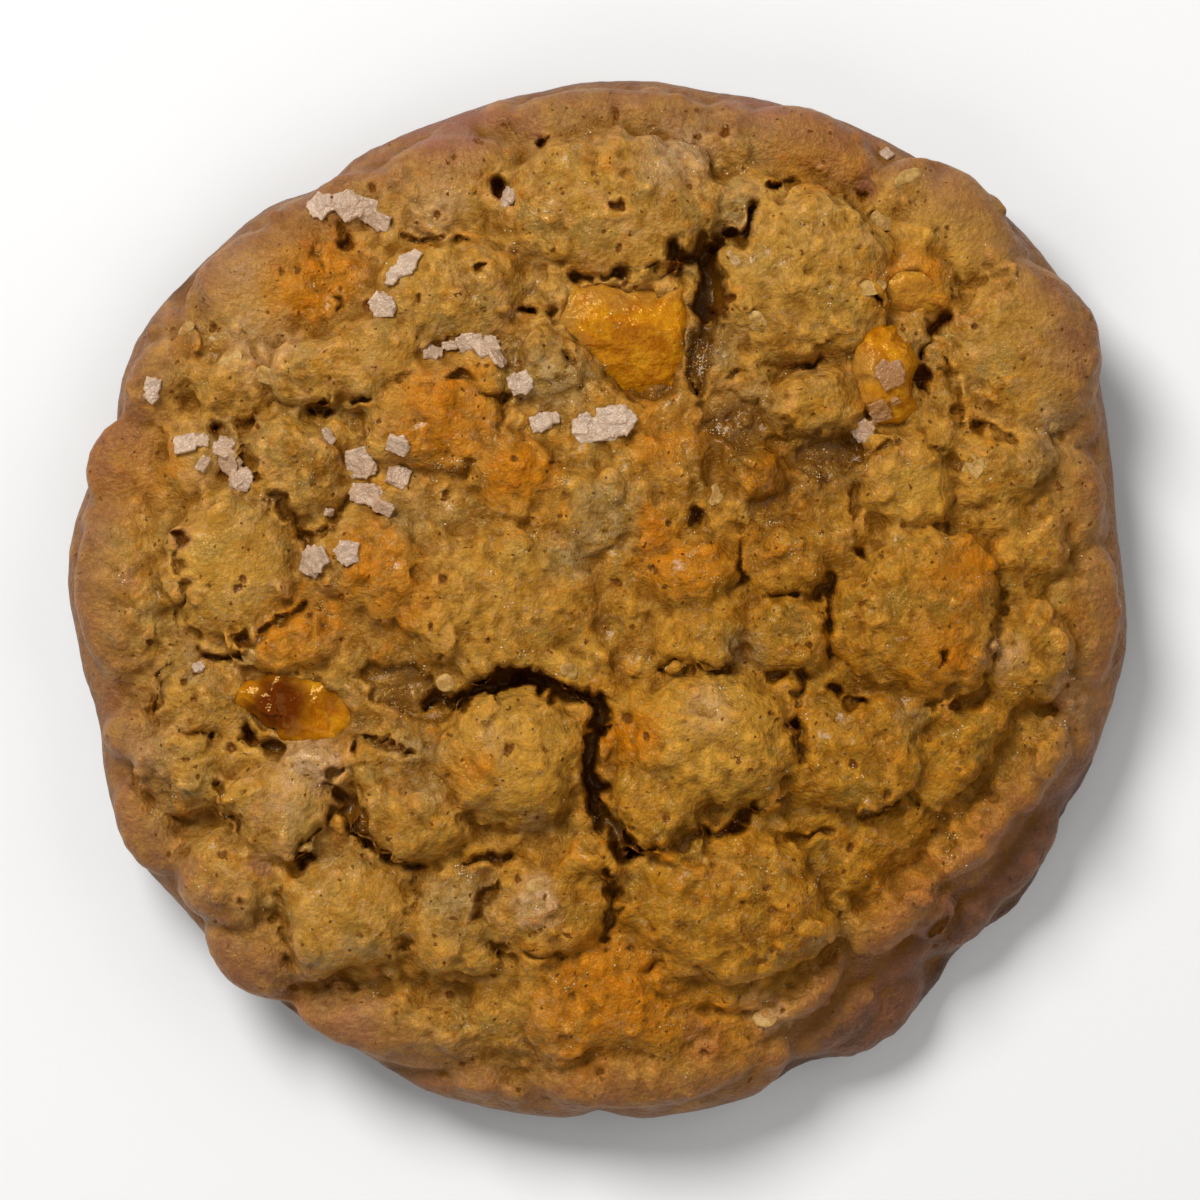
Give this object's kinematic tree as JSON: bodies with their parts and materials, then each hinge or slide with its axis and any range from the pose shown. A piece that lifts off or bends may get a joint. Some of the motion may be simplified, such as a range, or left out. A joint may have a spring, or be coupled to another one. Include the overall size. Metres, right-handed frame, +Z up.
{
  "type": "oatmeal butterscotch cookie",
  "caption": "Thick round oatmeal cookie with a craggy browned top, open butterscotch chips and flakes of sea salt, lying flat.",
  "frame": {"origin": "middle of the flat underside, under the centre of the bounding box", "axes": "+Z up through the cookie's thickness, +Y towards the side that is at the top of the picture, +X to its right"},
  "size_m": [0.0851, 0.0835, 0.0169],
  "materials": {
    "dough": "baked oatmeal dough, golden tan, browner at the rim, rough and pitted, with whitish salt flakes and pale oats on it",
    "butterscotch": "butterscotch, orange amber, half melted, glossy where it has run and grainy where it is dry"
  },
  "bodies": {
    "root": {"cookie_dough": "dough", "chip_centre": "butterscotch", "chip_right": "butterscotch", "chip_melted": "butterscotch", "chip_upper_right": "butterscotch"}
  },
  "joints": []
}
